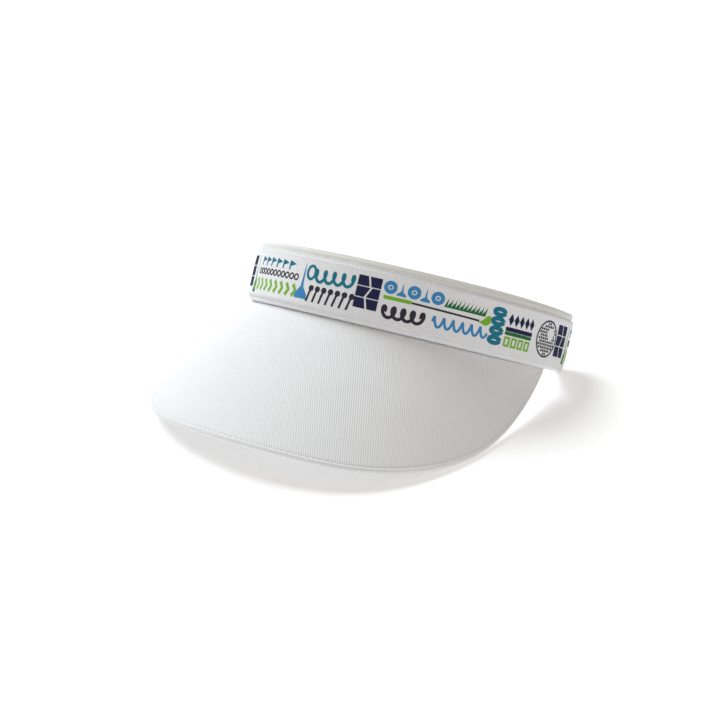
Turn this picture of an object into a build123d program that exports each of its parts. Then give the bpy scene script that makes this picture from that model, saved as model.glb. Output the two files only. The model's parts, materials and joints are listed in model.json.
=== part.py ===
"""Sun visor: a stiff curved bill sewn under a cushioned, spring-backed headband with a printed ribbon.

Millimetres. The visor stands on its two bill sides and its two temple ends, with +Z up and the front
towards -Y. The headband is a horseshoe about its own axis, and its plane tips back from the level.
Angles along the headband are measured from the front, positive towards +X (the wearer's left).
Heights on the headband are measured from the ribbon's lower edge, along the headband's axis.
"""

import os
from math import cos, degrees, hypot, radians, sin, tan

from build123d import *

# --- Driving dimensions ---------------------------------------------------------------------------

# Resting pose of the headband's plane
BAND_TILT = 25.5
BAND_CENTRE_Y = 52.9
BAND_CENTRE_Z = 12.1

# Headband
RIBBON_WIDTH = 22.0
RIBBON_THICKNESS = 0.5
RIBBON_RADIUS = 76.0
RIBBON_HALF_ANGLE = 112.0
RIBBON_FOLD_LENGTH = 14.0
PAD_THICKNESS = 4.5
PAD_BELOW_RIBBON = 2.1
PAD_ABOVE_RIBBON = 3.6
PAD_END_GAP = 0.9
PAD_CORNER_RADIUS = 4.0
PAD_EDGE_RADIUS = 2.0
PAD_COVER = 0.6
FOLD_RADIUS = 1.2
SPRING_THICKNESS = 0.8
SPRING_WIDTH = 14.0
SPRING_END_MARGIN = 6.0
SEAM_STRIP_THICKNESS = 1.0
SEAM_STRIP_HEIGHT = 6.0
SEAM_HALF_ANGLE = 88.0

# Bill: a shell cut from a leaning cone, measured on its top face
BILL_BASE_RADIUS = 73.2
BILL_FRONT_SLOPE = 46.4
BILL_APEX_SETBACK = 1.43 * BILL_BASE_RADIUS
BILL_FRONT_REACH = 127.3
BILL_SHOULDER = (52.4, -110.3)
BILL_CORNER = (77.2, -70.5)
BILL_WIDEST = (79.4, -32.5)
BILL_TAIL = (69.2, 14.0)
BILL_TAIL_DIRECTION = (-0.3, 1)
BILL_MIDDLE_Y = -45.0
TOP_COVER = 0.4
BILL_FOAM = 0.7
BILL_BOARD = 1.1
UNDER_COVER = 0.4
ROLL_BULGE = 0.15
COVER_TUCK = 0.3
FOAM_TUCK = 0.95
BOARD_TUCK = 1.6
RIM_END_MARGIN = 0.012

# Thread and ink
THREAD_DIAMETER = 0.4
SEAM_THREAD_DIAMETER = 0.5
STITCH_MARGIN = 1.2
EDGE_STITCH_MARGIN = 3.0
STITCH_LIFT = 0.3
INK_THICKNESS = 0.08
PRINT_REPEAT = 190.0
BALL_DIAMETER = 16.0
BALL_PLACE = 107.5

# Printed pattern: columns are lengths along the ribbon from the front, rows are heights on it
TALL_ROW = (3.5, 19.0)
TOP_ROW = (13.8, 18.5)
MIDDLE_ROW = (10.6, 12.4)
SHAFT_ROW = (11.3, 12.1)
BOTTOM_ROW = (3.8, 8.2)
BLUE_TEE_COLUMN = (-18.0, -15.0)
SCROLL_COLUMN = (-13.0, 10.0)
STACK_COLUMN = (11.0, 22.0)
GRIP_COLUMN = (23.5, 35.5)
SHAFT_COLUMN = (36.0, 65.0)
CLUB_HEAD_COLUMN = (66.0, 70.5)
SQUARES_COLUMN = (23.5, 48.5)
DARK_WAVE_COLUMN = (23.5, 42.5)
BLUE_WAVE_COLUMN = (44.5, 70.0)
GRASS_COLUMN = (49.5, 69.0)
CHAIN_COLUMN = (71.0, 79.0)
BARS_COLUMN = (80.0, 95.5)
BADGE_COLUMN = (116.0, 128.0)
GREEN_TEE_COLUMN = (130.0, 134.0)
SMALL_COLUMN = (137.0, 171.0)

# Spare material on cutting shapes
CLEAR = 2.0
CONE_ABOVE = 8.0
CONE_BELOW = 75.0

# --- Derived sizes --------------------------------------------------------------------------------

PAD_OUTER = RIBBON_RADIUS - RIBBON_THICKNESS
PAD_INNER = PAD_OUTER - PAD_THICKNESS
PAD_LOW = -PAD_BELOW_RIBBON
PAD_HIGH = RIBBON_WIDTH + PAD_ABOVE_RIBBON
SEAM_RADIUS = BILL_BASE_RADIUS - SEAM_STRIP_THICKNESS / 2
LEAF_START_ANGLE = RIBBON_HALF_ANGLE - degrees(RIBBON_FOLD_LENGTH / RIBBON_RADIUS)
SPRING_LOW = (RIBBON_WIDTH - SPRING_WIDTH) / 2
BILL_THICKNESS = TOP_COVER + BILL_FOAM + BILL_BOARD + UNDER_COVER
BILL_TOP = PAD_LOW
APEX_HEIGHT = tan(radians(BILL_FRONT_SLOPE)) * (BILL_APEX_SETBACK + BILL_BASE_RADIUS)
ROLL_DEPTH = BILL_THICKNESS / 2
ROLL_RADIUS = ROLL_DEPTH + ROLL_BULGE
FOAM_DEPTH = TOP_COVER
BOARD_DEPTH = FOAM_DEPTH + BILL_FOAM
LINING_DEPTH = BOARD_DEPTH + BILL_BOARD

tilt = radians(BAND_TILT)
BAND = Plane(origin=(0, BAND_CENTRE_Y, BAND_CENTRE_Z), x_dir=(1, 0, 0), z_dir=(0, sin(tilt), cos(tilt)))
BAND_AXIS = Axis(BAND.origin, BAND.z_dir)

os.makedirs("parts", exist_ok=True)


# --- Helpers --------------------------------------------------------------------------------------


def arc_angle(length, radius=RIBBON_RADIUS):
    """Angle in degrees that a length along the band covers."""
    return degrees(length / radius)


def section_plane(angle):
    """Upright plane through the headband's axis, its x axis pointing outward at this angle."""
    outward = BAND.x_dir * sin(radians(angle)) - BAND.y_dir * cos(radians(angle))
    return Plane(origin=BAND.origin, x_dir=outward, z_dir=outward.cross(BAND.z_dir))


def ring_section(inner, outer, low, high):
    """Rectangle in a section sketch, from its two radii and its two heights."""
    with Locations((inner, low)):
        Rectangle(outer - inner, high - low, align=(Align.MIN, Align.MIN))


def ring_sector(inner, outer, low, high, half_angle):
    """Solid arc of rectangular section, centred on the front."""
    with BuildPart() as sector:
        with BuildSketch(section_plane(-half_angle)):
            ring_section(inner, outer, low, high)
        revolve(axis=BAND_AXIS, revolution_arc=2 * half_angle)
    return sector.part


def pad_block(inset):
    """Outside of the cushion, or of what lies a cover's thickness inside it, with rounded ends."""
    half_angle = RIBBON_HALF_ANGLE - arc_angle(PAD_END_GAP + RIBBON_THICKNESS + inset)
    with BuildPart() as block:
        with BuildSketch(section_plane(-half_angle)):
            ring_section(PAD_INNER + inset, PAD_OUTER - inset, PAD_LOW + inset, PAD_HIGH - inset)
        revolve(axis=BAND_AXIS, revolution_arc=2 * half_angle)
        straight = block.edges().filter_by(GeomType.LINE)
        end_corners = straight.filter_by(lambda e: abs(e.tangent_at(0).dot(BAND.z_dir)) < 0.5)
        fillet(end_corners, PAD_CORNER_RADIUS - inset)
        walls = block.faces().filter_by(GeomType.CYLINDER).sort_by(SortBy.AREA)[-2:]
        fillet(walls[0].edges() + walls[1].edges(), PAD_EDGE_RADIUS - inset)
    return block.part


def bill_cone(depth):
    """Leaning cone whose surface lies this deep below the bill's top face, measured at the front."""
    drop = depth / cos(radians(BILL_FRONT_SLOPE))
    with BuildPart() as cone:
        for height in (BILL_TOP + CONE_ABOVE, BILL_TOP - CONE_BELOW):
            scale = (APEX_HEIGHT + BILL_TOP - drop - height) / APEX_HEIGHT
            with BuildSketch(BAND.offset(height)):
                with Locations((0, BILL_APEX_SETBACK * (1 - scale))):
                    Circle(BILL_BASE_RADIUS * scale)
        loft(ruled=True)
    return cone.part


def drawn_in(x, y, inset):
    """Point of the bill's outline, moved towards the outline's middle."""
    keep = 1 - inset / hypot(x, y - BILL_MIDDLE_Y)
    return (x * keep, BILL_MIDDLE_Y + (y - BILL_MIDDLE_Y) * keep)


def bill_slab(inset):
    """Everything under the headband within the bill's plan outline, drawn in from it by the inset."""
    with BuildPart() as slab:
        with BuildSketch(BAND.offset(BILL_TOP)):
            with BuildLine():
                right = Spline(
                    drawn_in(0, -BILL_FRONT_REACH, inset),
                    drawn_in(*BILL_SHOULDER, inset),
                    drawn_in(*BILL_CORNER, inset),
                    drawn_in(*BILL_WIDEST, inset),
                    drawn_in(BILL_BASE_RADIUS, 0, inset),
                    drawn_in(*BILL_TAIL, inset),
                    tangents=((1, 0), BILL_TAIL_DIRECTION),
                )
                left = mirror(right, about=Plane.YZ)
                Line(right @ 1, left @ 1)
            make_face()
        extrude(amount=-CONE_BELOW)
    return slab.part


def save(piece, name):
    """Label a finished piece and write it."""
    piece.label = name
    export_step(piece, f"parts/{name}.step")


# --- Headband -------------------------------------------------------------------------------------


def leaf_recess(grow):
    """Where the ribbon's folded-in ends press into the cushion's inner face, at both temples."""
    deep = RIBBON_THICKNESS + grow
    low, high = -grow, RIBBON_WIDTH + grow
    start = LEAF_START_ANGLE - arc_angle(grow)
    with BuildPart() as recess:
        add(ring_sector(PAD_INNER - CLEAR, PAD_INNER + deep, low, high, RIBBON_HALF_ANGLE))
        add(ring_sector(0, PAD_OUTER, low, high, start), mode=Mode.SUBTRACT)
    return recess.part


def thread_ring(radius, height, diameter, half_angle):
    """Round thread laid along the headband."""
    with BuildPart() as thread:
        with BuildSketch(section_plane(-half_angle)):
            with Locations((radius, height)):
                Circle(diameter / 2)
        revolve(axis=BAND_AXIS, revolution_arc=2 * half_angle)
    return thread.part


pad_outside = pad_block(0)
pad_inside = pad_block(PAD_COVER)
outer_half = ring_sector(SEAM_RADIUS, RIBBON_RADIUS, PAD_LOW - CLEAR, RIBBON_WIDTH - CLEAR, 180)
seam_strip = ring_sector(
    SEAM_RADIUS - SEAM_STRIP_THICKNESS / 2,
    SEAM_RADIUS + SEAM_STRIP_THICKNESS / 2,
    PAD_LOW,
    PAD_LOW + SEAM_STRIP_HEIGHT,
    SEAM_HALF_ANGLE,
)
seam_height = PAD_LOW + SEAM_STRIP_HEIGHT / 2
seam_thread = thread_ring(BILL_BASE_RADIUS, seam_height, SEAM_THREAD_DIAMETER, SEAM_HALF_ANGLE)

# Springy plastic strip that grips the head
with BuildPart() as headband_spring:
    spring_outer = PAD_OUTER - PAD_COVER
    spring_end = RIBBON_HALF_ANGLE - arc_angle(SPRING_END_MARGIN)
    with BuildSketch(section_plane(-spring_end)):
        ring_section(spring_outer - SPRING_THICKNESS, spring_outer, SPRING_LOW, SPRING_LOW + SPRING_WIDTH)
    revolve(axis=BAND_AXIS, revolution_arc=2 * spring_end)
save(headband_spring.part, "headband_spring")

# Foam cushion, hollowed for the spring, the bill's seam and the ribbon's folded-in ends
with BuildPart() as headband_foam:
    add(pad_inside)
    add(leaf_recess(PAD_COVER), mode=Mode.SUBTRACT)
    add(headband_spring.part, mode=Mode.SUBTRACT)
    add(seam_strip, mode=Mode.SUBTRACT)
    add(seam_thread, mode=Mode.SUBTRACT)
save(headband_foam.part, "headband_foam")

# Whole fabric cover of the cushion, before it is divided at the seams
with BuildPart() as cushion_space:
    add(pad_inside)
    add(leaf_recess(PAD_COVER), mode=Mode.SUBTRACT)

with BuildPart() as pad_cover:
    add(pad_outside)
    add(leaf_recess(0), mode=Mode.SUBTRACT)
    add(cushion_space.part, mode=Mode.SUBTRACT)
    add(seam_strip, mode=Mode.SUBTRACT)

# Plain fabric on the cushion's outside, mostly behind the ribbon
with BuildPart() as headband_facing:
    add(pad_cover.part)
    add(outer_half, mode=Mode.INTERSECT)
save(headband_facing.part, "headband_facing")

# Soft absorbent fabric on the inside, rolled over the top
with BuildPart() as sweatband:
    add(pad_cover.part)
    add(outer_half, mode=Mode.SUBTRACT)
save(sweatband.part, "sweatband")

# Two rows of stitching that hold the ribbon
with BuildPart() as ribbon_lower_stitching:
    add(thread_ring(RIBBON_RADIUS, STITCH_MARGIN, THREAD_DIAMETER, LEAF_START_ANGLE))
save(ribbon_lower_stitching.part, "ribbon_lower_stitching")

with BuildPart() as ribbon_upper_stitching:
    add(thread_ring(RIBBON_RADIUS, RIBBON_WIDTH - STITCH_MARGIN, THREAD_DIAMETER, LEAF_START_ANGLE))
save(ribbon_upper_stitching.part, "ribbon_upper_stitching")

# Woven ribbon, folded round both temple ends and tucked against the inside of the cushion
with BuildPart() as ribbon:
    add(ring_sector(PAD_INNER, RIBBON_RADIUS, 0, RIBBON_WIDTH, RIBBON_HALF_ANGLE))
    folds = ribbon.edges().filter_by(GeomType.LINE).filter_by(BAND_AXIS)
    fillet(folds, FOLD_RADIUS)
    inner_end = RIBBON_HALF_ANGLE - arc_angle(RIBBON_THICKNESS)
    leaf_face = PAD_INNER + RIBBON_THICKNESS
    add(ring_sector(leaf_face, PAD_OUTER, -CLEAR, RIBBON_WIDTH + CLEAR, inner_end), mode=Mode.SUBTRACT)
    add(ring_sector(0, PAD_OUTER, -CLEAR, RIBBON_WIDTH + CLEAR, LEAF_START_ANGLE), mode=Mode.SUBTRACT)
    add(ribbon_lower_stitching.part, mode=Mode.SUBTRACT)
    add(ribbon_upper_stitching.part, mode=Mode.SUBTRACT)
save(ribbon.part, "ribbon")


# --- Bill -----------------------------------------------------------------------------------------


def rim_curve(depth, inset):
    """Edge where the bill's surface at this depth meets its outline drawn in by the inset."""
    with BuildPart() as block:
        add(bill_cone(depth))
        add(bill_slab(inset), mode=Mode.INTERSECT)
    cone_face = block.faces().filter_by(GeomType.BSPLINE)[0]
    whole = cone_face.edges().sort_by(SortBy.LENGTH)[-1]
    return whole.trim(RIM_END_MARGIN, 1 - RIM_END_MARGIN)


def bill_layer(top, bottom, tuck):
    """Layer of the bill between two depths, ending just inside the rolled edge."""
    with BuildPart() as layer:
        add(bill_cone(top))
        add(bill_cone(bottom), mode=Mode.SUBTRACT)
        add(bill_slab(ROLL_RADIUS + tuck), mode=Mode.INTERSECT)
    return layer.part


# Fabric rolled round the bill's front and side edge
roll_path = rim_curve(ROLL_DEPTH, ROLL_RADIUS)
with BuildPart() as bill_edge_roll:
    with BuildSketch(Plane(origin=roll_path @ 0, z_dir=roll_path % 0)):
        Circle(ROLL_RADIUS)
    sweep(path=roll_path)
save(bill_edge_roll.part, "bill_edge_roll")

# Stitching that draws the top cover down just inside the rolled edge
stitch_path = rim_curve(-STITCH_LIFT, EDGE_STITCH_MARGIN)
with BuildPart() as bill_edge_stitching:
    with BuildSketch(Plane(origin=stitch_path @ 0, z_dir=stitch_path % 0)):
        Circle(THREAD_DIAMETER / 2)
    sweep(path=stitch_path)
save(bill_edge_stitching.part, "bill_edge_stitching")

# Ribbed top fabric
with BuildPart() as bill_top_cover:
    add(bill_layer(0, FOAM_DEPTH, COVER_TUCK))
save(bill_top_cover.part, "bill_top_cover")

# Thin foam under the top fabric
with BuildPart() as bill_foam:
    add(bill_layer(FOAM_DEPTH, BOARD_DEPTH, FOAM_TUCK))
save(bill_foam.part, "bill_foam")

# Stiff plastic board that holds the bill's curve
with BuildPart() as bill_board:
    add(bill_layer(BOARD_DEPTH, LINING_DEPTH, BOARD_TUCK))
save(bill_board.part, "bill_board")

# Lining on the underside
with BuildPart() as bill_under_cover:
    add(bill_layer(LINING_DEPTH, BILL_THICKNESS, BOARD_TUCK))
save(bill_under_cover.part, "bill_under_cover")

# Edges of the bill's two covers, turned up between the facing and the sweatband, and their seam
with BuildPart() as bill_seam_strip:
    add(seam_strip)
    add(seam_thread, mode=Mode.SUBTRACT)
save(bill_seam_strip.part, "bill_seam_strip")

with BuildPart() as bill_seam_stitching:
    add(seam_thread)
save(bill_seam_stitching.part, "bill_seam_stitching")


# --- Printed pattern on the ribbon ----------------------------------------------------------------


def ink_bar(column, row):
    """Printed bar over a column and a row of the pattern, and its repeat further back."""
    start, end = column
    for shift in (0, -PRINT_REPEAT):
        with BuildSketch(section_plane(arc_angle(start + shift))) as bar:
            ring_section(RIBBON_RADIUS, RIBBON_RADIUS + INK_THICKNESS, *row)
        revolve(bar.sketch, axis=BAND_AXIS, revolution_arc=arc_angle(end - start))


ink_film = ring_sector(
    RIBBON_RADIUS,
    RIBBON_RADIUS + INK_THICKNESS,
    STITCH_MARGIN + THREAD_DIAMETER,
    RIBBON_WIDTH - STITCH_MARGIN - THREAD_DIAMETER,
    RIBBON_HALF_ANGLE - arc_angle(FOLD_RADIUS),
)

with BuildPart() as ink_navy:
    ink_bar(STACK_COLUMN, TALL_ROW)
    ink_bar(BARS_COLUMN, TOP_ROW)
    ink_bar(BARS_COLUMN, MIDDLE_ROW)
    ink_bar(BADGE_COLUMN, TALL_ROW)
    add(ink_film, mode=Mode.INTERSECT)
save(ink_navy.part, "ink_navy")

with BuildPart() as ink_teal:
    ink_bar(SCROLL_COLUMN, TOP_ROW)
    ink_bar(CHAIN_COLUMN, TALL_ROW)
    ink_bar(SMALL_COLUMN, TOP_ROW)
    add(ink_film, mode=Mode.INTERSECT)
save(ink_teal.part, "ink_teal")

with BuildPart() as ink_blue:
    ink_bar(BLUE_TEE_COLUMN, TALL_ROW)
    ink_bar(SQUARES_COLUMN, TOP_ROW)
    ink_bar(BLUE_WAVE_COLUMN, BOTTOM_ROW)
    add(ink_film, mode=Mode.INTERSECT)
save(ink_blue.part, "ink_blue")

with BuildPart() as ink_green:
    ink_bar(GRASS_COLUMN, TOP_ROW)
    ink_bar(GREEN_TEE_COLUMN, TALL_ROW)
    ink_bar(SHAFT_COLUMN, SHAFT_ROW)
    add(ink_film, mode=Mode.INTERSECT)
save(ink_green.part, "ink_green")

with BuildPart() as ink_lime:
    ink_bar(BARS_COLUMN, BOTTOM_ROW)
    ink_bar(GRIP_COLUMN, MIDDLE_ROW)
    ink_bar(CLUB_HEAD_COLUMN, MIDDLE_ROW)
    ink_bar(SMALL_COLUMN, BOTTOM_ROW)
    add(ink_film, mode=Mode.INTERSECT)
save(ink_lime.part, "ink_lime")

with BuildPart() as ink_grey:
    ink_bar(SCROLL_COLUMN, BOTTOM_ROW)
    ink_bar(DARK_WAVE_COLUMN, BOTTOM_ROW)
    ink_bar(SMALL_COLUMN, MIDDLE_ROW)
    add(ink_film, mode=Mode.INTERSECT)
save(ink_grey.part, "ink_grey")

# Two printed golf balls, flat discs wrapped on the ribbon
with BuildPart() as ink_ball:
    for place in (BALL_PLACE, BALL_PLACE - PRINT_REPEAT):
        ball_plane = section_plane(arc_angle(place))
        tangent_plane = Plane(origin=BAND.origin, x_dir=-ball_plane.z_dir, z_dir=ball_plane.x_dir)
        with BuildSketch(tangent_plane.offset(PAD_INNER)):
            with Locations((0, RIBBON_WIDTH / 2)):
                Circle(BALL_DIAMETER / 2)
        extrude(amount=2 * PAD_THICKNESS)
    add(ink_film, mode=Mode.INTERSECT)
save(ink_ball.part, "ink_ball")
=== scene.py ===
import json
from math import acos, cos, exp, pi, radians, sin, sqrt, tan

import bmesh
import bpy
import numpy as np
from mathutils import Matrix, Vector


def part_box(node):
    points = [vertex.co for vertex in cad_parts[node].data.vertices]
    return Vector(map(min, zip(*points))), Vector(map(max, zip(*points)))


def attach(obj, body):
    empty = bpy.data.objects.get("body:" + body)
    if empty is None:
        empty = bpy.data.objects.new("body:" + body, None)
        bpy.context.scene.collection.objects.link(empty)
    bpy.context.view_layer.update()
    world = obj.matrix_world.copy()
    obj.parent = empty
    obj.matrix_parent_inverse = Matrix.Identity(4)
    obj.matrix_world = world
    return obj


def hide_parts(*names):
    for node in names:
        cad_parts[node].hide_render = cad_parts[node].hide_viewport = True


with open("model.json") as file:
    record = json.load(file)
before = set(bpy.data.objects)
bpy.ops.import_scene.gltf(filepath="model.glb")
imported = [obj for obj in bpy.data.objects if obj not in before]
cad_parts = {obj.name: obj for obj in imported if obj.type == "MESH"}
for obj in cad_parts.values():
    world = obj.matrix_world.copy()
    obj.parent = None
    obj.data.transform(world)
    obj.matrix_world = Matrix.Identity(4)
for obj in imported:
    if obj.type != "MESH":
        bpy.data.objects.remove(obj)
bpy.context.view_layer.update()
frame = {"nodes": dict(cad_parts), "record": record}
MM = 0.001

# --- Shape, from the frame and the visor's driving sizes (metres and radians) -----------------------

clip = frame["record"]["mounts"][0]
UP = Vector(clip["axis"]).normalized()
SIDE = Vector((1, 0, 0))
BACK = UP.cross(SIDE)
PAD_INNER = clip["dims"]["r_mm"] * MM
PAD_OUTER = PAD_INNER + 4.5 * MM
RIBBON_RADIUS = (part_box("ribbon")[1][0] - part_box("ribbon")[0][0]) / 2
RIBBON_WIDTH = 22 * MM
CLIP_HEIGHT = 11.75 * MM
CENTRE = Vector(clip["pos_m"]) - UP * CLIP_HEIGHT

RIBBON_END = radians(112)
RIBBON_LEAF = 14 * MM
RIBBON_THICKNESS = 0.5 * MM
FOLD_RADIUS = 1.2 * MM
PAD_LOW = -2.1 * MM
PAD_HIGH = 25.6 * MM
PAD_END_GAP = 1.4 * MM

BILL_BASE_RADIUS = 73.2 * MM
BILL_SLOPE = radians(46.4)
APEX_SETBACK = 1.43 * BILL_BASE_RADIUS
APEX_HEIGHT = tan(BILL_SLOPE) * (APEX_SETBACK + BILL_BASE_RADIUS)
BILL_OUTLINE = ((0, -127.3), (52.4, -110.3), (77.2, -70.5), (79.4, -32.5), (73.2, 0), (69.2, 14))
BILL_OUTLINE_START = (1, 0)
BILL_OUTLINE_FINISH = (-0.3, 1)
BILL_MIDDLE = 45 * MM
OUTLINE_SAMPLES = 60
BILL_THICKNESS = 2.6 * MM
COVER_THICKNESS = 0.38 * MM
ROLL_RADIUS = 1.4 * MM
CREASE_INSET = 2.3 * MM
CREASE_DEPTH = 0.16 * MM
CREASE_WIDTH = 0.4 * MM

RIB_PITCH_BILL = 0.93 * MM
RIB_PITCH_LINING = 0.8 * MM
RIB_TURN = radians(27)
RIB_PITCH_RIBBON = 0.94 * MM
EDGE_THREAD = 0.09 * MM
EDGE_PITCH = 2.6 * MM
RIBBON_THREAD = 0.10 * MM
RIBBON_PITCH = 2.2 * MM
RIBBON_STITCH_MARGIN = 1.1 * MM
RIBBON_STITCH_SINK = 0.03 * MM
RIBBON_STITCH_STEPS = 180
RIBBON_CROWN = 0.18 * MM
SELVEDGE_THIN = 0.55
RIBBON_ROWS = 16


def place(angle, radius, height):
    """Point at an angle round the headband, a radius and a height above the ribbon's foot."""
    return CENTRE + SIDE * (radius * sin(angle)) - BACK * (radius * cos(angle)) + UP * height


# --- Mesh helpers ----------------------------------------------------------------------------------


def new_piece(name, points, faces, look, replaced, smooth=True):
    """Mesh object that rides on the visor's one body and stands for the CAD nodes given."""
    mesh = bpy.data.meshes.new(name)
    mesh.from_pydata([tuple(p) for p in points], [], faces)
    mesh.validate()
    clean = bmesh.new()
    clean.from_mesh(mesh)
    bmesh.ops.recalc_face_normals(clean, faces=clean.faces)
    clean.to_mesh(mesh)
    clean.free()
    for polygon in mesh.polygons:
        polygon.use_smooth = smooth
    piece = bpy.data.objects.new(name, mesh)
    bpy.context.scene.collection.objects.link(piece)
    mesh.materials.append(look)
    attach(piece, "root")
    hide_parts(*replaced)
    return piece


def loft(loops):
    """Points and faces of a closed skin over closed loops of equal length, capped at both ends."""
    count = len(loops[0])
    points = [p for loop in loops for p in loop]
    faces = []
    for i in range(len(loops) - 1):
        for j in range(count):
            k = (j + 1) % count
            a, b = i * count, (i + 1) * count
            faces.append((a + j, a + k, b + k, b + j))
    last = (len(loops) - 1) * count
    faces.append(tuple(range(count - 1, -1, -1)))
    faces.append(tuple(last + j for j in range(count)))
    return points, faces


def point_values(piece, name, values):
    """Store one number per vertex, for a material to read."""
    layer = piece.data.attributes.new(name, "FLOAT", "POINT")
    layer.data.foreach_set("value", values)


# --- Materials -------------------------------------------------------------------------------------


CLOTH_SPECULAR = 0.25
INK_SPECULAR = 0.08
YARN_SCALE = 2600
CLOUD_SCALE = 60
SOFT_CLOUD_SCALE = 90
MOULD_SCALE = 900
SPECKLE_SCALE = 3200
MOULD_DEPTH = 0.02 * MM
INK_RIB_DEPTH = 0.10 * MM
# How far the ink pales towards white: random weave specks, plus painted light on the rib crests.
INK_PALING_SPECKS_AND_CREST_LIGHT = 0.04


def material(name, color, roughness, sheen=0.0):
    """Material with a Principled shader, returned with its node tree."""
    made = bpy.data.materials.new(name)
    made.use_nodes = True
    shader = made.node_tree.nodes["Principled BSDF"]
    shader.inputs["Base Color"].default_value = (*color, 1)
    shader.inputs["Roughness"].default_value = roughness
    shader.inputs["Sheen Weight"].default_value = sheen
    shader.inputs["Specular IOR Level"].default_value = CLOTH_SPECULAR
    return made, made.node_tree, shader


def math_node(tree, operation, first, second=None):
    """Math node fed by a socket and by a second socket or a number, if any; returns its output."""
    node = tree.nodes.new("ShaderNodeMath")
    node.operation = operation
    tree.links.new(first, node.inputs[0])
    if isinstance(second, (int, float)):
        node.inputs[1].default_value = second
    elif second is not None:
        tree.links.new(second, node.inputs[1])
    return node.outputs[0]


def mixed(tree, first, share, second):
    """Weighted mean of two sockets."""
    weighted_first = math_node(tree, "MULTIPLY", first, share)
    weighted_second = math_node(tree, "MULTIPLY", second, 1 - share)
    return math_node(tree, "ADD", weighted_first, weighted_second)


def noise(tree, scale, detail=2.0):
    """Noise over the object's own coordinates; returns its value output."""
    where = tree.nodes.new("ShaderNodeTexCoord")
    node = tree.nodes.new("ShaderNodeTexNoise")
    node.inputs["Scale"].default_value = scale
    node.inputs["Detail"].default_value = detail
    tree.links.new(where.outputs["Object"], node.inputs["Vector"])
    return node.outputs[0]


def waves(tree, attribute, pitch):
    """Smooth ridges from 0 to 1 at a pitch along a stored length."""
    stored = tree.nodes.new("ShaderNodeAttribute")
    stored.attribute_name = attribute
    turns = math_node(tree, "MULTIPLY", stored.outputs["Fac"], 2 * pi / pitch)
    swing = math_node(tree, "SINE", turns)
    half = math_node(tree, "MULTIPLY", swing, 0.5)
    return math_node(tree, "ADD", half, 0.5)


def shade(tree, shader, factor, dark, light):
    """Colour between dark and light, by a factor from 0 to 1."""
    ramp = tree.nodes.new("ShaderNodeValToRGB")
    ramp.color_ramp.elements[0].color = (*dark, 1)
    ramp.color_ramp.elements[1].color = (*light, 1)
    tree.links.new(factor, ramp.inputs["Fac"])
    tree.links.new(ramp.outputs["Color"], shader.inputs["Base Color"])


def bump(tree, shader, height, depth):
    """Bump of a depth in metres from a height of 0 to 1."""
    node = tree.nodes.new("ShaderNodeBump")
    node.inputs["Strength"].default_value = 1.0
    node.inputs["Distance"].default_value = depth
    tree.links.new(height, node.inputs["Height"])
    tree.links.new(node.outputs["Normal"], shader.inputs["Normal"])


def ribbed_fabric(name, dark, light, attribute, pitch, depth, sheen):
    """Woven cloth with raised ribs, uneven yarn, a faint random change of tone, and painted shade in the
    rib troughs with painted light on the crests.
    """
    made, tree, shader = material(name, light, 0.85, sheen)
    ribs = waves(tree, attribute, pitch)
    yarn = noise(tree, YARN_SCALE, 3.0)
    cloud = noise(tree, CLOUD_SCALE)
    rough_yarn = math_node(tree, "MULTIPLY", yarn, 0.45)
    # Colour follows the ribs as well as the random cloud: painted shade darkens the rib troughs and painted
    # light brightens the crests.
    shade(tree, shader, mixed(tree, ribs, 0.55, cloud), dark, light)
    bump(tree, shader, math_node(tree, "ADD", ribs, rough_yarn), depth)
    return made


def soft_fabric(name, dark, light, grain, depth, sheen):
    """Brushed or plain cloth: fine grain over a soft cloud of tone."""
    made, tree, shader = material(name, light, 0.95, sheen)
    fine = noise(tree, grain, 4.0)
    cloud = noise(tree, SOFT_CLOUD_SCALE)
    shade(tree, shader, mixed(tree, fine, 0.6, cloud), dark, light)
    bump(tree, shader, fine, depth)
    return made


def moulded(name, dark, light, roughness):
    """Satin plastic with a faint mottling."""
    made, tree, shader = material(name, light, roughness)
    fine = noise(tree, MOULD_SCALE)
    shade(tree, shader, fine, dark, light)
    bump(tree, shader, fine, MOULD_DEPTH)
    return made


def ink(name, color):
    """Printed colour on the ribbon, with the ribs in its bump, random pale specks from the weave, and
    painted light that pales it on the rib crests.
    """
    made, tree, shader = material(name, color, 0.8)
    ribs = waves(tree, "along", RIB_PITCH_RIBBON)
    speckle = noise(tree, SPECKLE_SCALE)
    shader.inputs["Specular IOR Level"].default_value = INK_SPECULAR
    # Ink pales in random specks and on the rib crests; the paling on the crests is painted light.
    pale = tuple(c + (1 - c) * INK_PALING_SPECKS_AND_CREST_LIGHT for c in color)
    shade(tree, shader, mixed(tree, ribs, 0.4, speckle), color, pale)
    bump(tree, shader, ribs, INK_RIB_DEPTH)
    return made


BILL_CLOTH = ribbed_fabric(
    "bill_cloth", (0.83, 0.83, 0.84), (0.93, 0.93, 0.94), "rib", RIB_PITCH_BILL, 0.10 * MM, 0.1
)
LINING_CLOTH = ribbed_fabric(
    "lining_cloth", (0.70, 0.70, 0.72), (0.82, 0.82, 0.84), "rib", RIB_PITCH_LINING, 0.08 * MM, 0.1
)
RIBBON_CLOTH = ribbed_fabric(
    "ribbon_cloth", (0.84, 0.84, 0.86), (0.95, 0.95, 0.97), "along", RIB_PITCH_RIBBON, 0.16 * MM, 0.1
)
SWEAT_CLOTH = soft_fabric("sweatband_cloth", (0.78, 0.78, 0.785), (0.91, 0.91, 0.92), 2400, 0.18 * MM, 0.35)
FACING_CLOTH = soft_fabric("facing_cloth", (0.78, 0.78, 0.80), (0.91, 0.91, 0.93), 3000, 0.08 * MM, 0.2)
FOAM = soft_fabric("foam", (0.70, 0.70, 0.64), (0.86, 0.85, 0.80), 1800, 0.15 * MM, 0.0)
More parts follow.
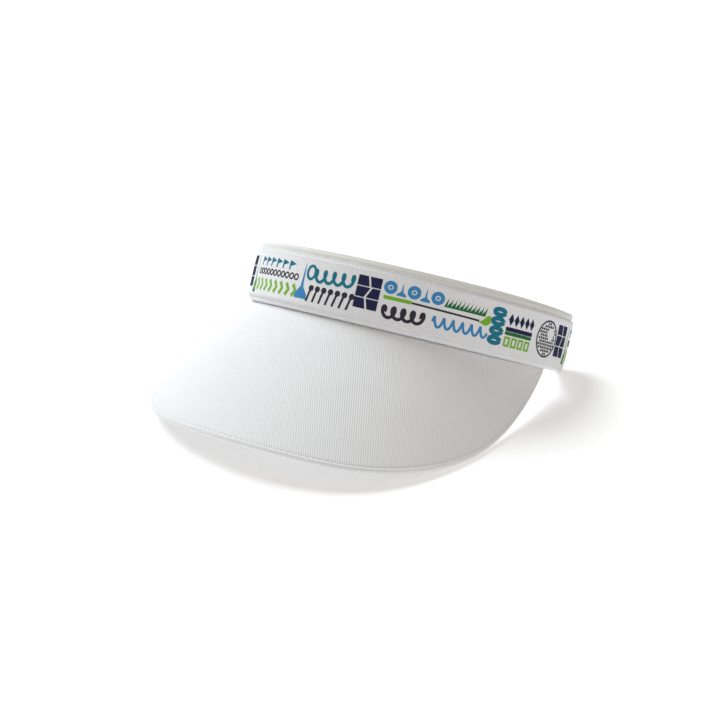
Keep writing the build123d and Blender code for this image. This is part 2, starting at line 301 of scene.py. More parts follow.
THREAD = soft_fabric("thread", (0.74, 0.74, 0.77), (0.90, 0.90, 0.92), 5000, 0.05 * MM, 0.2)
BOARD = moulded("board", (0.66, 0.67, 0.70), (0.74, 0.75, 0.78), 0.5)
STRIP = moulded("spring_strip", (0.60, 0.62, 0.65), (0.70, 0.72, 0.75), 0.4)

carried = {
    "bill_board": BOARD,
    "bill_foam": FOAM,
    "bill_seam_strip": FACING_CLOTH,
    "bill_seam_stitching": THREAD,
    "headband_spring": STRIP,
    "headband_foam": FOAM,
}
for name, look in carried.items():
    node = frame["nodes"][name]
    for socket in node.material_slots:
        socket.material = look


# --- Bill ------------------------------------------------------------------------------------------

APEX = CENTRE + BACK * APEX_SETBACK + UP * (PAD_LOW + APEX_HEIGHT)


def bill_base(angle):
    """Where the bill's top face meets the headband."""
    return place(angle, BILL_BASE_RADIUS, PAD_LOW)


def ruling(angle):
    """Straight direction down the bill from its base, away from the cone's apex."""
    return (bill_base(angle) - APEX).normalized()


def smooth_curve(points, start, finish, count):
    """Even samples of the smooth curve through the points with the given end directions."""
    points = np.array(points, float)
    gaps = np.hypot(*np.diff(points, axis=0).T)
    size = len(points)
    matrix, right = np.eye(size), np.zeros((size, 2))
    right[0] = np.array(start) / np.hypot(*start)
    right[-1] = np.array(finish) / np.hypot(*finish)
    rises = np.diff(points, axis=0) / gaps[:, None]
    for i in range(1, size - 1):
        matrix[i, i - 1 : i + 2] = gaps[i], 2 * (gaps[i - 1] + gaps[i]), gaps[i - 1]
        right[i] = 3 * (gaps[i] * rises[i - 1] + gaps[i - 1] * rises[i])
    slopes = np.linalg.solve(matrix, right)
    samples = []
    for i in range(size - 1):
        t = np.linspace(0, 1, count)[:, None]
        ahead = (3 - 2 * t) * t * t
        bend = gaps[i] * (t * (1 - t) ** 2 * slopes[i] - t * t * (1 - t) * slopes[i + 1])
        samples.append((1 - ahead) * points[i] + ahead * points[i + 1] + bend)
    return np.concatenate(samples)


def outline_stretch():
    """How far each ruling is stretched from the apex to reach the bill's outline, against its angle."""
    plan = smooth_curve(BILL_OUTLINE, BILL_OUTLINE_START, BILL_OUTLINE_FINISH, OUTLINE_SAMPLES) * MM
    ray = plan - np.array([0, APEX_SETBACK])
    square = (ray**2).sum(axis=1)
    lean = APEX_SETBACK * ray[:, 1]
    beyond = square * (APEX_SETBACK**2 - BILL_BASE_RADIUS**2)
    back_to_base = (np.sqrt(lean**2 - beyond) - lean) / square
    base = np.array([0, APEX_SETBACK]) + ray * back_to_base[:, None]
    return np.arctan2(base[:, 0], -base[:, 1]), 1 / back_to_base


OUTLINE_ANGLES, OUTLINE_STRETCH = outline_stretch()


def bill_reach(angle):
    """Length of the bill along its ruling."""
    stretch = float(np.interp(abs(angle), OUTLINE_ANGLES, OUTLINE_STRETCH))
    return (bill_base(angle) - APEX).length * max(0.0, stretch - 1)


def rim(angle):
    """Outer corner of the bill's top face."""
    return bill_base(angle) + ruling(angle) * bill_reach(angle)


SMALL_TURN = radians(0.25)


def bill_frame(angle):
    """Outward normal of the bill, and the direction in its face that points in from the rim."""
    step = SMALL_TURN
    across = bill_base(angle + step) - bill_base(angle - step)
    normal = across.cross(ruling(angle)).normalized()
    if normal.dot(UP) < 0:
        normal = -normal
    edge = (rim(angle + step) - rim(angle - step)).normalized()
    inward = normal.cross(edge).normalized()
    if inward.dot(CENTRE - BACK * BILL_MIDDLE - rim(angle)) < 0:
        inward = -inward
    return normal, inward


COLUMNS = 300
ROWS = 44
LINING_ROWS = 30
CREASE_ROWS = 12
FACE_ROWS = ROWS + 10
ROLL_STEPS = 12
ROLL_TURN = radians(205)
LAST_COLUMN = radians(88.6)
angles = [LAST_COLUMN * (2 * i / COLUMNS - 1) for i in range(COLUMNS + 1)]

# The cone unrolled flat gives each point its place on the cut cloth
spread = [0.0]
for before, after in zip(angles, angles[1:]):
    turn = ruling(before).dot(ruling(after))
    spread.append(spread[-1] + acos(min(1.0, turn)))
middle = spread[-1] / 2


def across_ribs(column, reach):
    """Distance across the ribs on the flat cloth, whose ribs are turned from the front-to-back line."""
    along = (bill_base(angles[column]) - APEX).length + reach
    return along * sin(spread[column] - middle - RIB_TURN)


def cover_profile(column):
    """Points over the top, through the crease and round the edge, and their lengths along the cloth."""
    angle = angles[column]
    normal, inward = bill_frame(angle)
    reach = bill_reach(angle)
    base, edge = bill_base(angle), rim(angle)
    inset = min(CREASE_INSET + 2.5 * CREASE_WIDTH, 0.6 * reach)
    line_end = edge + inward * inset
    points, lengths = [], []
    for row in range(ROWS + 1):
        part = row / ROWS
        points.append(base.lerp(line_end, part))
        lengths.append(part * (reach - inset))
    crease = min(CREASE_INSET, 0.7 * inset)
    for row in range(1, CREASE_ROWS + 1):
        left = inset * (1 - row / CREASE_ROWS)
        if left < ROLL_RADIUS * 0.999:
            break
        dip = CREASE_DEPTH * exp(-(((left - crease) / CREASE_WIDTH) ** 2))
        points.append(edge + inward * left - normal * dip)
        lengths.append(reach - left)
    centre = edge + inward * ROLL_RADIUS - normal * (BILL_THICKNESS / 2)
    while len(points) < FACE_ROWS:
        points.append(points[-1].lerp(centre + normal * ROLL_RADIUS, 0.5))
        lengths.append(reach - ROLL_RADIUS)
    points, lengths = points[:FACE_ROWS], lengths[:FACE_ROWS]
    for step in range(ROLL_STEPS + 1):
        turn = ROLL_TURN * step / ROLL_STEPS
        points.append(centre + normal * (ROLL_RADIUS * cos(turn)) - inward * (ROLL_RADIUS * sin(turn)))
        lengths.append(reach - ROLL_RADIUS + ROLL_RADIUS * turn)
    return points, lengths, normal, centre


def build_bill_cover():
    """Ribbed top fabric, rolled round the edge."""
    loops, ribs = [], []
    for column in range(COLUMNS + 1):
        points, lengths, normal, centre = cover_profile(column)
        inner = []
        for index, point in enumerate(points):
            on_roll = index >= FACE_ROWS
            toward = (centre - point).normalized() if on_roll else -normal
            inner.append(point + toward * COVER_THICKNESS)
        loops.append(points + inner[::-1])
        values = [across_ribs(column, length) for length in lengths]
        ribs += values + values[::-1]
    points, faces = loft(loops)
    cover = new_piece(
        "bill_cover", points, faces, BILL_CLOTH, ["bill_top_cover", "bill_edge_roll"]
    )
    point_values(cover, "rib", ribs)


def build_bill_lining():
    """Lining under the bill, ending under the rolled edge."""
    loops, ribs = [], []
    for column in range(COLUMNS + 1):
        angle = angles[column]
        normal, inward = bill_frame(angle)
        reach = bill_reach(angle)
        tuck = min(1.2 * ROLL_RADIUS, 0.6 * reach)
        outer, inner, values = [], [], []
        for row in range(LINING_ROWS + 1):
            part = row / LINING_ROWS
            point = bill_base(angle).lerp(rim(angle) + inward * tuck, part)
            outer.append(point - normal * (BILL_THICKNESS - COVER_THICKNESS))
            inner.append(point - normal * BILL_THICKNESS)
            values.append(across_ribs(column, part * reach))
        loops.append(outer + inner[::-1])
        ribs += values + values[::-1]
    points, faces = loft(loops)
    lining = new_piece("bill_lining", points, faces, LINING_CLOTH, ["bill_under_cover"])
    point_values(lining, "rib", ribs)


STITCH_FILL = 0.72
STITCH_RING = 6
STITCH_STEPS = 5


def stitch_row(name, stations, replaced, radius, pitch):
    """Row of short rounded stitches laid along a polyline, each with a direction out of the cloth."""
    walked = [0.0]
    for (a, _), (b, _) in zip(stations, stations[1:]):
        walked.append(walked[-1] + (b - a).length)
    points, faces = [], []
    around, steps = STITCH_RING, STITCH_STEPS
    index = 0

    def at(distance):
        nonlocal index
        while index < len(walked) - 2 and walked[index + 1] < distance:
            index += 1
        part = (distance - walked[index]) / max(1e-9, walked[index + 1] - walked[index])
        (a, out_a), (b, out_b) = stations[index], stations[index + 1]
        return a.lerp(b, part), out_a.lerp(out_b, part).normalized(), (b - a).normalized()

    for number in range(int(walked[-1] / pitch)):
        start = number * pitch
        first = len(points)
        for step in range(steps + 1):
            part = step / steps
            point, out, along = at(start + part * STITCH_FILL * pitch)
            side = out.cross(along).normalized()
            swell = radius * (0.45 + 0.55 * sin(pi * part) ** 0.5)
            lift = 0.5 * radius * sin(pi * part)
            for corner in range(around):
                turn = 2 * pi * corner / around
                points.append(point + out * (lift + swell * cos(turn)) + side * (swell * sin(turn)))
        for step in range(steps):
            for corner in range(around):
                a = first + step * around
                b = a + around
                k = (corner + 1) % around
                faces.append((a + corner, a + k, b + k, b + corner))
        faces.append(tuple(first + around - 1 - c for c in range(around)))
        faces.append(tuple(first + steps * around + c for c in range(around)))
    new_piece(name, points, faces, THREAD, replaced)


def build_bill_stitches():
    """Stitching that draws the cover down inside the rolled edge."""
    stations = []
    for column in range(8, COLUMNS - 7):
        normal, inward = bill_frame(angles[column])
        spot = rim(angles[column]) + inward * CREASE_INSET - normal * (CREASE_DEPTH * 0.8)
        stations.append((spot, normal))
    stitch_row("bill_edge_stitches", stations, ["bill_edge_stitching"], EDGE_THREAD, EDGE_PITCH)


# --- Headband --------------------------------------------------------------------------------------

PAD_END = RIBBON_END - PAD_END_GAP / RIBBON_RADIUS
PAD_CORNER = 4 * MM
FACING_HIGH = 20 * MM
FACING_THICKNESS = 0.5 * MM
PAD_ROUNDING = 2 * MM
PAD_SETBACK = 0.35 * MM
PAD_LEAN = 1.3 * MM
PAD_CLEAR = 0.05 * MM
LEAF_PRESS = 0.55 * MM
FACING_CLEAR = 0.02 * MM
FACING_TURN = 0.48 * MM
FACING_ROWS = 12
FACING_BEND = 8


def rounded_section(inner, outer, low, high, rounding, arc=9, side=22):
    """Radii and heights round a rectangle with round corners, with points along its tall sides."""
    rounding = min(rounding, (outer - inner) * 0.49, (high - low) * 0.49)
    loop = []
    corners = ((outer, high, 0), (inner, high, 1), (inner, low, 2), (outer, low, 3))
    for radius, height, quarter in corners:
        middle_radius = radius - rounding if quarter in (0, 3) else radius + rounding
        middle_height = height - rounding if quarter < 2 else height + rounding
        for i in range(arc):
            turn = pi / 2 * (quarter + i / (arc - 1))
            loop.append((middle_radius + rounding * cos(turn), middle_height + rounding * sin(turn)))
        if quarter in (1, 3):
            start, finish = high - rounding, low + rounding
            if quarter == 3:
                start, finish = finish, start
            for i in range(1, side):
                loop.append((radius, start + (finish - start) * i / side))
    return loop


def within(value):
    """Value kept between 0 and 1."""
    return max(0.0, min(1.0, value))


def end_drop(left, rounding):
    """How far a rounded end has fallen back, this far from its tip."""
    return rounding - sqrt(max(0.0, rounding**2 - max(0.0, rounding - left) ** 2))


def pad_section(angle):
    """Closed loop round the cushion at one angle, lower and thinner within its rounded ends."""
    left = max(0.0, (PAD_END - abs(angle)) * RIBBON_RADIUS)
    corner = end_drop(left, PAD_CORNER)
    thin = 0.95 * end_drop(left, PAD_ROUNDING)
    pressed = within((RIBBON_LEAF + 1 * MM - left) / MM) * LEAF_PRESS
    inner, outer = PAD_INNER + pressed + thin, PAD_OUTER - PAD_CLEAR - thin
    slim = ((outer - inner) / (PAD_OUTER - PAD_INNER)) ** 2
    loop = []
    low, high = PAD_LOW + corner, PAD_HIGH - corner
    for radius, height in rounded_section(inner, outer, low, high, PAD_ROUNDING):
        covered = within((FACING_HIGH + 0.5 * MM - height) / MM)
        above = within((height - RIBBON_WIDTH) / (PAD_HIGH - RIBBON_WIDTH))
        back = covered * FACING_THICKNESS + (PAD_SETBACK + PAD_LEAN * above if above > 0 else 0)
        loop.append(place(angle, min(radius, outer - back * slim), height))
    return loop


def end_angles(close, steps):
    """Angles from one temple to the other, crowded together near both ends."""
    near = [PAD_END - radians(d) for d in close]
    inside = [near[-1] * (1 - 2 * i / steps) for i in range(1, steps)]
    return list(reversed(near + inside + [-a for a in reversed(near)]))


def build_facing():
    """Plain fabric on the cushion's outside, turned under along its foot."""
    loops = []
    for angle in end_angles((0.6, 0.9, 1.4, 2.0, 3.0), 220):
        left = (PAD_END - abs(angle)) * RIBBON_RADIUS
        outer, inner = [], []
        foot = PAD_LOW + end_drop(left, PAD_CORNER)
        bend_height = foot + PAD_ROUNDING
        for i in range(FACING_ROWS + 1):
            height = FACING_HIGH + (bend_height - FACING_HIGH) * i / FACING_ROWS
            outer.append((PAD_OUTER - FACING_CLEAR, height))
            inner.append((PAD_OUTER - FACING_THICKNESS, height))
        bend_radius = PAD_OUTER - FACING_CLEAR - PAD_ROUNDING
        small = PAD_ROUNDING - FACING_TURN
        for i in range(1, FACING_BEND + 1):
            turn = pi / 2 * i / FACING_BEND
            out, down = cos(turn), sin(turn)
            outer.append((bend_radius + PAD_ROUNDING * out, bend_height - PAD_ROUNDING * down))
            inner.append((bend_radius + small * out, bend_height - small * down))
        loops.append([place(angle, r, w) for r, w in outer + inner[::-1]])
    points, faces = loft(loops)
    new_piece("facing_strip", points, faces, FACING_CLOTH, ["headband_facing"])


SIM_SCALE = 10
SIM_FRAMES = 12
SIM_LIMIT = 0.7 * MM
WELD = 0.04 * MM


def plump(pad):
    """Fill the cushion's cover by a cloth simulation held at its seams, and keep a limited part of it."""
    weld = bmesh.new()
    weld.from_mesh(pad.data)
    bmesh.ops.remove_doubles(weld, verts=weld.verts, dist=WELD)
    weld.to_mesh(pad.data)
    weld.free()
    rest = [v.co.copy() for v in pad.data.vertices]
    held = pad.vertex_groups.new(name="held")
    for index, spot in enumerate(rest):
        offset = spot - CENTRE
        height = offset.dot(UP)
        radius = (offset - UP * height).length
        behind_ribbon = radius > PAD_OUTER - 0.8 * MM and height < RIBBON_WIDTH
        at_foot = height < PAD_LOW + 0.3 * MM
        held.add([index], 1.0 if behind_ribbon or at_foot else 0.0, "REPLACE")
    for vertex in pad.data.vertices:
        vertex.co = vertex.co * SIM_SCALE
    cloth = pad.modifiers.new("cloth", "CLOTH")
    settings = cloth.settings
    settings.quality = 6
    settings.mass = 0.02
    settings.tension_stiffness = settings.compression_stiffness = 22
    settings.shear_stiffness = 10
    settings.bending_stiffness = 6
    settings.air_damping = 6
    settings.use_pressure = True
    settings.uniform_pressure_force = 1.0
    settings.shrink_min = -0.004
    settings.effector_weights.gravity = 0
    settings.vertex_group_mass = "held"
    cloth.point_cache.frame_start, cloth.point_cache.frame_end = 1, SIM_FRAMES
    for step in range(1, SIM_FRAMES + 1):
        bpy.context.scene.frame_set(step)
        bpy.context.view_layer.update()
    settled = pad.evaluated_get(bpy.context.evaluated_depsgraph_get()).to_mesh()
    moved = [v.co / SIM_SCALE for v in settled.vertices]
    pad.modifiers.remove(cloth)
    bpy.context.scene.frame_set(1)
    for vertex, before, after in zip(pad.data.vertices, rest, moved):
        shift = after - before
        if shift.length > SIM_LIMIT:
            shift = shift.normalized() * SIM_LIMIT
        vertex.co = before + shift
    pad.vertex_groups.remove(held)


def build_sweatband():
    """Soft cushion cover: rolled over the top, rounded at both ends."""
    run = end_angles((0.02, 0.1, 0.25, 0.45, 0.7, 1.0, 1.4, 1.9, 2.4, 3.0), 300)
    points, faces = loft([pad_section(angle) for angle in run])
    pad = new_piece("sweatband_pad", points, faces, SWEAT_CLOTH, ["sweatband"])
    plump(pad)


def ribbon_path():
    """Stations along the ribbon's middle: angle, radius, turn of its face and length from the front."""
    half = RIBBON_THICKNESS / 2
    outer, inner = RIBBON_RADIUS - half, PAD_INNER + half
    bend = FOLD_RADIUS - half
    right = []
    leaf_angle = RIBBON_END - bend / RIBBON_RADIUS - half / RIBBON_RADIUS
    runs = 180
    for i in range(runs + 1):
        right.append((leaf_angle * i / runs, outer, 0.0, leaf_angle * i / runs * RIBBON_RADIUS))
    length = right[-1][3]
    for i in range(1, 7):
        turn = pi / 2 * i / 6
        length += bend * pi / 12
        angle = leaf_angle + bend * sin(turn) / RIBBON_RADIUS
        right.append((angle, outer - bend * (1 - cos(turn)), turn, length))
    gap = outer - inner - 2 * bend
    for i in range(1, 4):
        length += gap / 3
        right.append((leaf_angle + bend / RIBBON_RADIUS, outer - bend - gap * i / 3, pi / 2, length))
    for i in range(1, 7):
        turn = pi / 2 * i / 6
        length += bend * pi / 12
        angle = leaf_angle + bend * cos(turn) / RIBBON_RADIUS
        right.append((angle, inner + bend * (1 - sin(turn)), pi / 2 + turn, length))
    for i in range(1, 15):
        length += RIBBON_LEAF / 14
        right.append((leaf_angle - RIBBON_LEAF * i / 14 / RIBBON_RADIUS, inner, pi, length))
    left = [(-a, r, -t, -s) for a, r, t, s in reversed(right[1:])]
    return left + right


def ribbon_crown(height):
    """How far the ribbon's face stands out between its stitched edges."""
    return RIBBON_CROWN * sin(pi * within(height / RIBBON_WIDTH))


def build_ribbon():
    """Cross-ribbed ribbon with both ends folded in over the cushion."""
    loops, lengths = [], []
    across = RIBBON_ROWS
    half = RIBBON_THICKNESS / 2
    for angle, radius, turn, length in ribbon_path():
        out = place(angle, 1, 0) - place(0, 0, 0)
        forward = place(angle + pi / 2, 1, 0) - place(0, 0, 0)
        face = out * cos(turn) + forward * sin(turn)
        outer, inner = [], []
        for row in range(across + 1):
            height = RIBBON_WIDTH * row / across
            middle_point = place(angle, radius, height) + face * (ribbon_crown(height) * cos(turn) ** 2)
            thin = SELVEDGE_THIN if row in (0, across) else 1.0
            outer.append(middle_point + face * half * thin)
            inner.append(middle_point - face * half * thin)
        loops.append(outer + inner[::-1])
        lengths += [length] * (2 * across + 2)
    points, faces = loft(loops)
    band = new_piece("ribbon_band", points, faces, RIBBON_CLOTH, ["ribbon"])
    point_values(band, "along", lengths)


def build_ribbon_stitches():
    """Two rows that hold the ribbon along its edges."""
    end = RIBBON_END - radians(2)
    for name, node, height in (
        ("ribbon_lower_stitches", "ribbon_lower_stitching", RIBBON_STITCH_MARGIN),
        ("ribbon_upper_stitches", "ribbon_upper_stitching", RIBBON_WIDTH - RIBBON_STITCH_MARGIN),
    ):
        stations = []
        radius = RIBBON_RADIUS + ribbon_crown(height) - RIBBON_STITCH_SINK
        for i in range(2 * RIBBON_STITCH_STEPS + 1):
            angle = end * (i / RIBBON_STITCH_STEPS - 1)
            out = place(angle, 1, 0) - place(0, 0, 0)
            stations.append((place(angle, radius, height), out))
        stitch_row(name, stations, [node], RIBBON_THREAD, RIBBON_PITCH)


# --- Printed pattern: generic marks, in millimetres along the ribbon and up it -----------------------

PRINT_REPEAT = 190.0
PRINT_LIMIT = 147.5
INK_LIFT = 0.02 * MM
INK_THICKNESS = 0.06 * MM
PRINT_WELD = 0.002
PRINT_CUT = 2
PRINT_TOP = 22


def ellipse(x, y, radius_x, radius_y, count):
    """Points round an ellipse, one more than the count where it closes."""
    turns = [2 * pi * i / count for i in range(count + 1)]
    return [(x + radius_x * cos(t), y + radius_y * sin(t)) for t in turns]


def disc(x, y, radius, count):
    """Filled circle."""
    return [ellipse(x, y, radius, radius, count)[:-1]]


def block(x0, x1, y0, y1, corner=0.5):
    """Filled rectangle with rounded corners."""
    corner = min(corner, (x1 - x0) / 2, (y1 - y0) / 2)
    outline = []
    for cx, cy, first in ((x1, y1, 0), (x0, y1, 1), (x0, y0, 2), (x1, y0, 3)):
        sx, sy = (-1 if cx == x1 else 1), (-1 if cy == y1 else 1)
        for i in range(4):
            turn = pi / 2 * (first + i / 3)
            x, y = cx + sx * corner, cy + sy * corner
            outline.append((x + corner * cos(turn), y + corner * sin(turn)))
    return [outline]


def stroke(points, width):
    """Band of a width along a run of points."""
    left, right = [], []
    for i, (x, y) in enumerate(points):
        x0, y0 = points[max(0, i - 1)]
        x1, y1 = points[min(len(points) - 1, i + 1)]
        long = sqrt((x1 - x0) ** 2 + (y1 - y0) ** 2) or 1
        nx, ny = -(y1 - y0) / long, (x1 - x0) / long
        left.append((x + nx * width / 2, y + ny * width / 2))
        right.append((x - nx * width / 2, y - ny * width / 2))
    return [[left[i], left[i + 1], right[i + 1], right[i]] for i in range(len(points) - 1)]


def ring(x, y, radius_x, radius_y, width):
    """Open ellipse drawn with a pen."""
    return stroke(ellipse(x, y, radius_x, radius_y, 24), width)


def wave(x0, x1, y, swing, waves_count, width, slope=0.0, curl=0.9):
    """Flowing line whose crests curl over."""
    count = int(26 * waves_count)
    run = []
    for i in range(count + 1):
        part = i / count
        turn = 2 * pi * waves_count * part
        run.append((x0 + (x1 - x0) * part + curl * cos(turn), y + slope * part + swing * sin(turn)))
    return stroke(run, width)


def diamonds(x0, x1, y0, y1, count):
    """Row of lozenges."""
    step = (x1 - x0) / count
    shapes = []
    for i in range(count):
        x, y = x0 + step * (i + 0.5), (y0 + y1) / 2
        w, h = step * 0.44, (y1 - y0) / 2
        shapes.append([(x - w, y), (x, y - h), (x + w, y), (x, y + h)])
    return shapes


def chevrons(x0, x1, y0, y1, count, width):
    """Row of arrow-like marks."""
    step = (x1 - x0) / count
    shapes = []
    for i in range(count):
        x = x0 + step * (i + 0.25)
        shapes += stroke([(x, y0), (x + step * 0.42, (y0 + y1) / 2), (x, y1)], width)
    return shapes


def squares(x0, x1, y0, y1, count):
    """Row of small open squares."""
    step = (x1 - x0) / count
    shapes = []
    for i in range(count):
        a, b = x0 + step * (i + 0.08), x0 + step * (i + 0.88)
        pen = min(1.0, (b - a) * 0.28)
        shapes += block(a, b, y0, y0 + pen, 0.2)
        shapes += block(a, b, y1 - pen, y1, 0.2)
        shapes += block(a, a + pen, y0 + pen, y1 - pen, 0.1)
        shapes += block(b - pen, b, y0 + pen, y1 - pen, 0.1)
    return shapes


def tufts(x0, x1, y0, y1, count):
    """Row of leaning grass blades."""
    step = (x1 - x0) / count
    shapes = []
    for i in range(count):
        x = x0 + step * i
        shapes.append([(x, y0), (x0 + step * (i + 0.62), y0), (x0 + step * (i + 0.95), y1)])
    return shapes


def tee(x, y0, y1, width):
    """Golf tee standing on its cup, its point upwards."""
    stem, cup, rim_high = width * 0.11, width / 2, (y1 - y0) * 0.12
    shoulder = y0 + (y1 - y0) * 0.34
    return [
        [(x - cup, y0), (x + cup, y0), (x + cup, y0 + rim_high), (x - cup, y0 + rim_high)],
        [(x - cup, y0 + rim_high), (x + cup, y0 + rim_high), (x + stem, shoulder), (x - stem, shoulder)],
        [(x - stem, shoulder), (x + stem, shoulder), (x, y1)],
    ]


def flags(x0, x1, y0, y1, count):
    """Row of pennants on poles."""
    step = (x1 - x0) / count
    shapes = []
    for i in range(count):
        x, pole = x0 + step * i, step * 0.16
        half = y0 + (y1 - y0) * 0.42
        shapes.append([(x, y0), (x + pole, y0), (x + pole, y1), (x, y1)])
        shapes.append([(x + pole, half), (x + step * 0.86, (half + y1) / 2), (x + pole, y1)])
    return shapes


def pins(x0, x1, y0, y1, count, width):
    """Row of round-headed pins leaning one way."""
    step = (x1 - x0) / count
    shapes = []
    for i in range(count):
        x, lean = x0 + step * (i + 0.5), step * 0.22
        shapes += stroke([(x - lean, y0), (x + lean * 0.6, y1 - width * 1.6)], width * 0.8)
        shapes += disc(x + lean, y1 - width, width * 1.05, 14)
    return shapes


def balls_and_tees(x0, x1, y0, y1, count, pen):
    """Bold balls alternating with tees."""
    step = (x1 - x0) / count
    shapes = []
    for i in range(count):
        x = x0 + step * (i + 0.5)
        if i % 2:
            shapes += tee(x, y0, y1, step * 0.8)
        else:
            shapes += ring(x, (y0 + y1) / 2, step * 0.4, (y1 - y0) / 2 - pen / 2, pen)
            shapes += disc(x, (y0 + y1) / 2, step * 0.12, 12)
    return shapes


def links(x, y0, y1, width, count, pen):
    """Upright chain of rounded links."""
    step = (y1 - y0) / count
    shapes = []
    for i in range(count):
        shapes += ring(x, y0 + step * (i + 0.5), (width - pen) / 2, step / 2 - pen * 0.42, pen)
    return shapes


def row_of_rings(x0, x1, y, radius, count, pen):
    """Row of small rings."""
    shapes = []
    for i in range(count):
        x = x0 + (x1 - x0) * (i + 0.5) / count
        shapes += ring(x, y, radius, radius, pen)
    return shapes


DIMPLE_PITCH = 1.55
DIMPLE_RADIUS = 0.58
DIMPLE_ROW = 0.87
BALL_MARGIN = 0.9
GLEAM = (2.4, 2.2)
GLEAM_SQUARE = 6.5


def ball_marks(x, y, radius):
    """Outlined ball with rows of dimples, left plain towards its lit side."""
    shapes = ring(x, y, radius, radius, 0.75)
    for row in range(-5, 6):
        for column in range(-5, 6):
            dx = column * DIMPLE_PITCH + (row % 2) * DIMPLE_PITCH / 2
            dy = row * DIMPLE_PITCH * DIMPLE_ROW
            outside = sqrt(dx * dx + dy * dy) > radius - BALL_MARGIN
            in_gleam = (dx - GLEAM[0]) ** 2 + (dy - GLEAM[1]) ** 2 < GLEAM_SQUARE
            if not outside and not in_gleam:
                shapes += disc(x + dx, y + dy, DIMPLE_RADIUS, 10)
    return shapes


def stacked_blocks(x0, x1, y0, y1, count):
    """Column of heavy blocks, each split by a slanting gap."""
    step = (y1 - y0) / count
    shapes = []
    for i in range(count):
        low, high = y0 + step * i + 0.22, y0 + step * (i + 1) - 0.22
        cut_low = x0 + (x1 - x0) * (0.38 if i % 2 else 0.52)
        cut_high = x0 + (x1 - x0) * (0.58 if i % 2 else 0.40)
        shapes.append([(x0, low), (cut_low, low), (cut_high, high), (x0, high)])
        shapes.append([(cut_low + 0.9, low), (x1, low), (x1, high), (cut_high + 0.9, high)])
    return shapes


PRINT = {
    "navy": (
        (0.003, 0.005, 0.055),
        stacked_blocks(11.2, 21.8, 4.6, 19.0, 3)
        + diamonds(80.2, 96, 12.4, 17.6, 5)
        + block(79.8, 95.6, 9.9, 11.7)
        + stacked_blocks(116.4, 128, 4.2, 19.0, 3),
    ),
    "teal": (
        (0.0, 0.18, 0.27),
        wave(-10.5, 10.2, 14.1, 2.5, 4.5, 1.35, 0.8, 1.3)
        + ring(-12.2, 15.2, 2.1, 2.9, 1.2)
        + flags(138.0, 168.5, 14.6, 18.6, 6)
        + links(75.2, 2.8, 19.0, 7.4, 4, 1.9),
    ),
    "blue": (
        (0.045, 0.26, 0.56),
        tee(-16.0, 3.2, 18.8, 7.0)
        + balls_and_tees(23.2, 48.8, 13.4, 19.0, 5, 1.7)
        + wave(45.5, 70.5, 6.3, 2.1, 6.0, 1.1, 0.4, 0.5),
    ),
    "green": (
        (0.003, 0.15, 0.035),
        tufts(49.4, 69, 13.4, 17.6, 11)
        + tufts(50.3, 68, 13.4, 15.8, 10)
        + block(79.8, 95.6, 8.2, 9.7)
        + tee(132.5, 1.9, 19.2, 3.6),
    ),
    "lime": (
        (0.20, 0.48, 0.02),
        squares(79.8, 95.8, 3.2, 7.5, 4)
        + block(23.5, 36, 11.0, 12.5, 0.6)
        + [[(65.8, 10.6), (69.5, 9.6), (71.6, 11.2), (71.4, 14.0), (69.8, 14.2), (68.0, 12.0)]]
        + chevrons(131.5, 172, 3.4, 8.6, 9, 1.7),
    ),
    "grey": (
        (0.022, 0.022, 0.035),
        pins(-13, 11, 2.6, 9.8, 7, 1.25)
        + wave(24, 42.6, 5.7, 2.3, 4.5, 1.4, 0.3, 1.5)
        + stroke([(36, 11.7), (66.0, 11.2)], 0.8)
        + row_of_rings(136, 171, 12.0, 1.2, 11, 0.65)
        + ball_marks(107.5, 11.0, 8.0),
    ),
}


def wrapped(x, y, lift):
    """Place on the ribbon's face, from a length and a height in millimetres."""
    height = y * MM
    return place(x * MM / RIBBON_RADIUS, RIBBON_RADIUS + ribbon_crown(height) + lift, height)


def build_print(name, color, shapes):
    """Thin films of one colour, cut fine enough to follow the ribbon's curve."""
    film = bmesh.new()
    for shift in (0.0, -PRINT_REPEAT):
        for outline in shapes:
            places = [(x + shift, y) for x, y in outline]
            if any(abs(x) > PRINT_LIMIT for x, _ in places):
                continue
            film.faces.new([film.verts.new((x, y, 0)) for x, y in places])
    bmesh.ops.remove_doubles(film, verts=film.verts, dist=PRINT_WELD)
    bmesh.ops.triangulate(film, faces=film.faces)
    for cut in range(-int(PRINT_LIMIT), int(PRINT_LIMIT) + 1, PRINT_CUT):
        every = film.verts[:] + film.edges[:] + film.faces[:]
        bmesh.ops.bisect_plane(film, geom=every, plane_co=(cut, 0, 0), plane_no=(1, 0, 0))
    for cut in range(PRINT_CUT, PRINT_TOP, PRINT_CUT):
        every = film.verts[:] + film.edges[:] + film.faces[:]
        bmesh.ops.bisect_plane(film, geom=every, plane_co=(0, cut, 0), plane_no=(0, 1, 0))
    film.verts.index_update()
    flat = [(v.co.x, v.co.y) for v in film.verts]
    count = len(flat)
    points = [wrapped(x, y, INK_LIFT + INK_THICKNESS) for x, y in flat]
    points += [wrapped(x, y, 0) for x, y in flat]
    faces = []
    for face in film.faces:
        corners = [v.index for v in face.verts]
        faces.append(tuple(corners))
        faces.append(tuple(count + c for c in reversed(corners)))
    for edge in film.edges:
        if len(edge.link_faces) == 1:
            loop = edge.link_loops[0]
            a, b = loop.vert.index, loop.link_loop_next.vert.index
            faces.append((b, a, count + a, count + b))
    film.free()
    nodes = ["ink_" + name] + (["ink_ball"] if name == "grey" else [])
    look = ink(name + "_ink", color)
    piece = new_piece("print_" + name, points, faces, look, nodes, smooth=False)
    lengths = [x * MM for x, _ in flat]
    point_values(piece, "along", lengths * 2)


build_bill_cover()
build_bill_lining()
build_bill_stitches()
build_sweatband()
build_facing()
build_ribbon()
build_ribbon_stitches()
for ink_name, (ink_color, ink_shapes) in PRINT.items():
    build_print(ink_name, ink_color, ink_shapes)


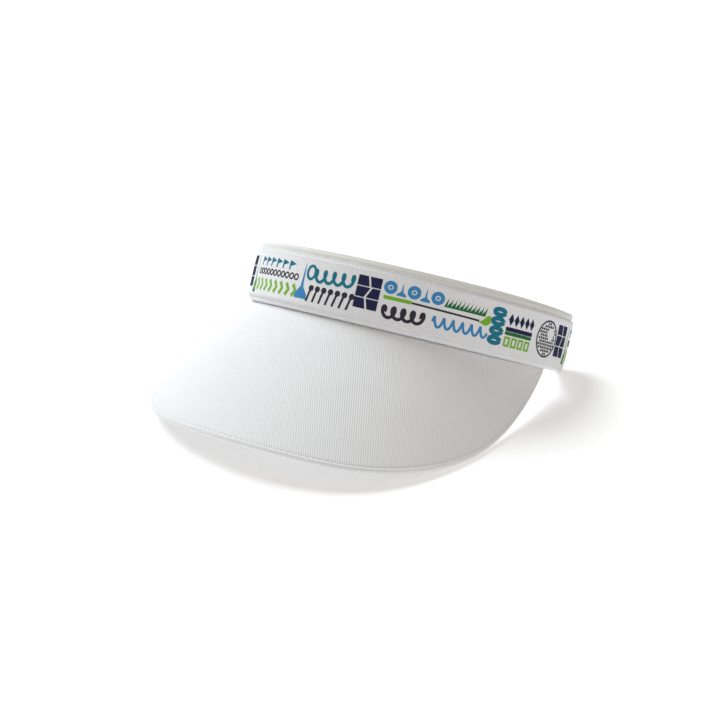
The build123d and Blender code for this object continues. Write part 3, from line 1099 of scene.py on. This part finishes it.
# --- Floor, light and camera -----------------------------------------------------------------------

FLOOR_SIZE = 30
FLOOR_GLOW = 0.27
SKY_STRENGTH = 0.46
KEY_PLACE = (-0.9, 0.25, 0.95)
KEY_SPREAD = radians(38)
KEY_STRENGTH = 2.5

bpy.ops.mesh.primitive_plane_add(size=FLOOR_SIZE)
floor = bpy.context.object
floor.name = "floor"
floor_look, _, floor_shader = material("floor", (0.93, 0.93, 0.93), 0.9)
floor_shader.inputs["Emission Color"].default_value = (1, 1, 0.99, 1)
floor_shader.inputs["Emission Strength"].default_value = FLOOR_GLOW
floor.data.materials.append(floor_look)

scene = bpy.context.scene
scene.view_settings.view_transform = "Standard"
world = bpy.data.worlds.new("studio")
scene.world = world
world.use_nodes = True
sky = world.node_tree.nodes["Background"]
sky.inputs["Color"].default_value = (1.0, 0.945, 0.89, 1)
sky.inputs["Strength"].default_value = SKY_STRENGTH


def sun_light(name, position, spread, strength, color):
    """Soft even light shining from a direction towards the middle of the scene."""
    data = bpy.data.lights.new(name, "SUN")
    data.angle = spread
    data.energy = strength
    data.color = color
    lamp = bpy.data.objects.new(name, data)
    lamp.location = position
    lamp.rotation_euler = Vector(position).to_track_quat("Z", "Y").to_euler()
    scene.collection.objects.link(lamp)


sun_light("key", KEY_PLACE, KEY_SPREAD, KEY_STRENGTH, (0.87, 0.955, 1.0))

CAMERA_AZIMUTH = radians(32.475)
CAMERA_ELEVATION = radians(21.226)
CAMERA_DISTANCE = 0.60983
CAMERA_SHIFT = (0.04644, -0.06693)
FOCAL_LENGTH = 71.28

aim = place(0, RIBBON_RADIUS, 0)
away = Vector((sin(CAMERA_AZIMUTH), -cos(CAMERA_AZIMUTH), 0)) * cos(CAMERA_ELEVATION)
away.z = sin(CAMERA_ELEVATION)
camera_data = bpy.data.cameras.new("camera")
camera_data.lens = FOCAL_LENGTH
camera_data.shift_x, camera_data.shift_y = CAMERA_SHIFT
camera = bpy.data.objects.new("camera", camera_data)
camera.location = aim + away * CAMERA_DISTANCE
camera.rotation_euler = away.to_track_quat("Z", "Y").to_euler()
scene.collection.objects.link(camera)
scene.camera = camera
